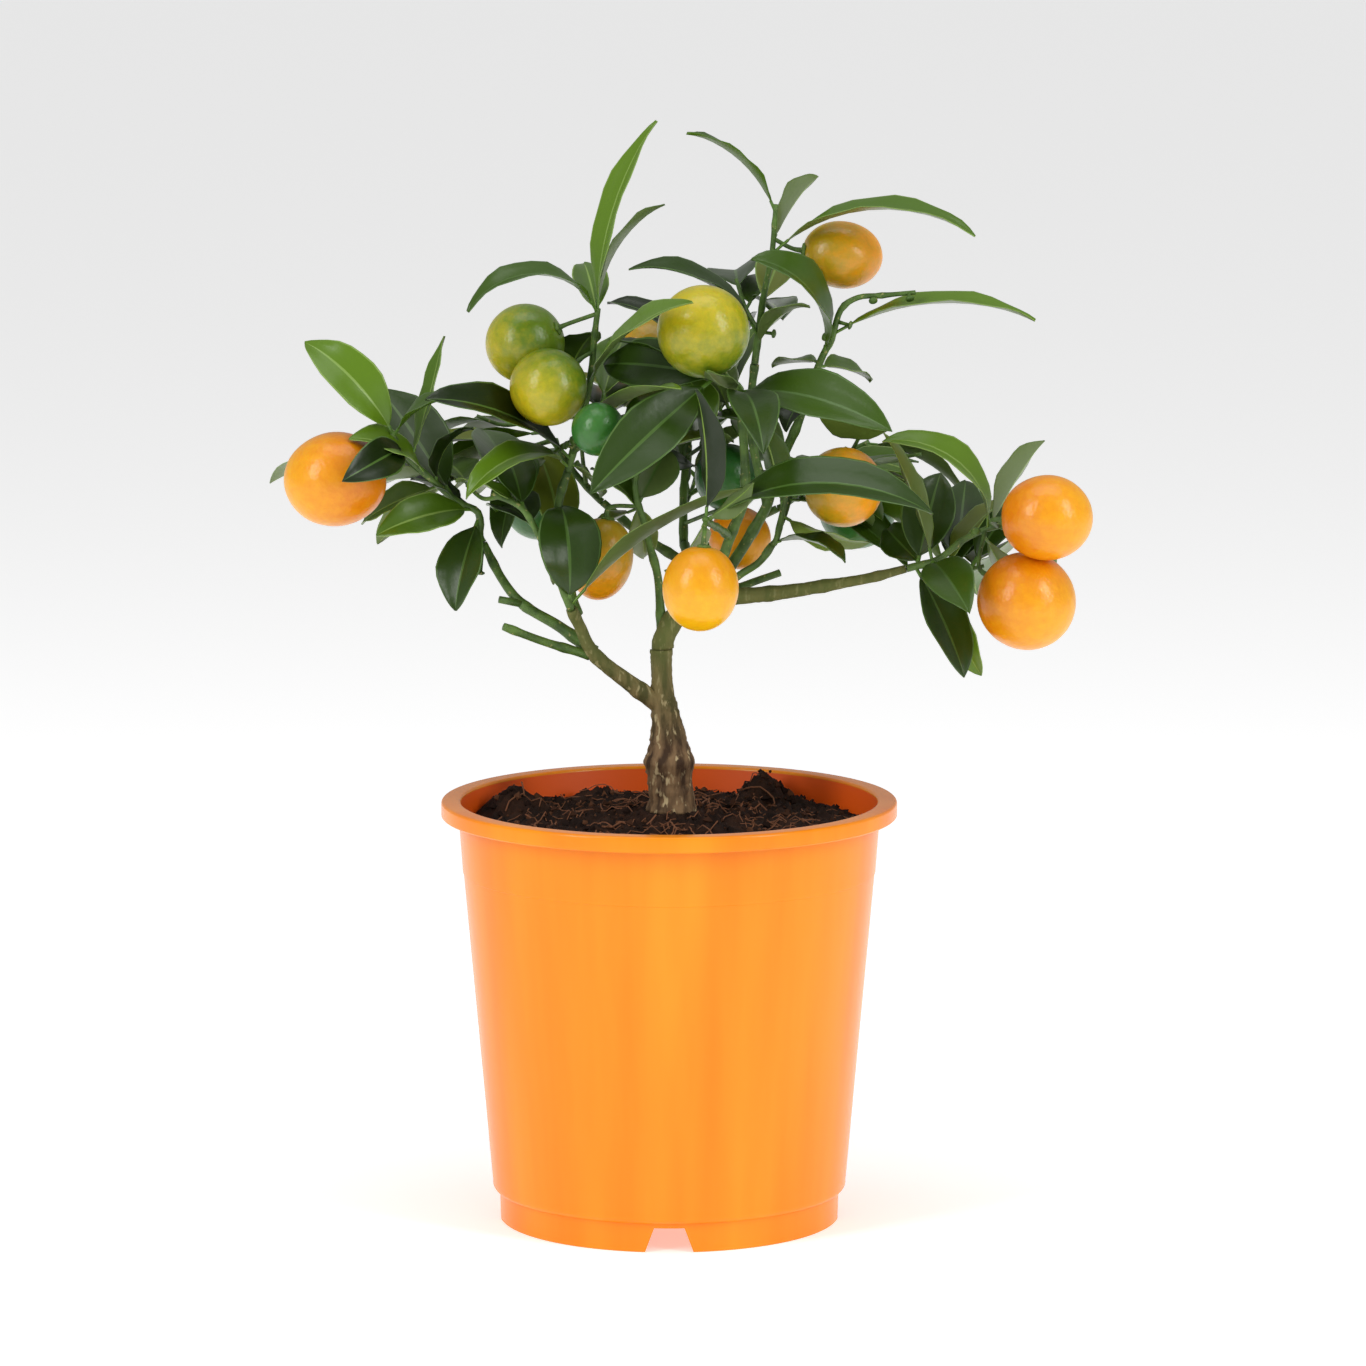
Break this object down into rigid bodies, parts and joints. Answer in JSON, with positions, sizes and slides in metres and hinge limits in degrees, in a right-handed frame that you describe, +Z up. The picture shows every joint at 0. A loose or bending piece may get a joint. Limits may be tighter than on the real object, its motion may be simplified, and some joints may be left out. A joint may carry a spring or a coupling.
{
  "type": "potted kumquat tree",
  "caption": "Small grafted citrus tree with round orange and green fruit, open leafy boughs and a slim forked trunk, standing in a tapered rimmed plastic grower's pot.",
  "frame": {"origin": "middle of the pot's foot ring, on the surface it stands on", "axes": "+Z up, +X the crown's widest way, +Y to the back of the crown"},
  "size_m": [0.3428, 0.19, 0.4599],
  "materials": {
    "pot": "satin moulded plastic",
    "soil": "loose and fibrous",
    "bark": "rough bark",
    "green_bark": "smooth green bark",
    "foliage": "waxy leaves"
  },
  "bodies": {
    "root": {"pot": "pot", "soil": "soil", "trunk": "bark", "bough_left": "bark", "bough_right": "bark", "bough_left_outer": "green_bark", "cut_branch_left": "green_bark", "bough_left_upper": "green_bark", "bough_centre": "green_bark", "bough_front": "green_bark", "bough_upper_right": "green_bark", "bough_top": "green_bark", "bough_right_upper": "green_bark", "cut_branch_right": "green_bark", "bough_low_centre": "green_bark", "bough_back": "green_bark", "bough_back_left": "green_bark", "bough_back_right": "green_bark", "foliage_far_left": "foliage", "foliage_left": "foliage", "foliage_upper_left": "foliage", "foliage_centre": "foliage", "foliage_centre_front": "foliage", "foliage_low_centre": "foliage", "foliage_top": "foliage", "foliage_upper_right": "foliage", "foliage_right": "foliage", "foliage_far_right": "foliage", "foliage_back": "foliage", "foliage_back_left": "foliage", "foliage_back_right": "foliage"}
  },
  "joints": []
}
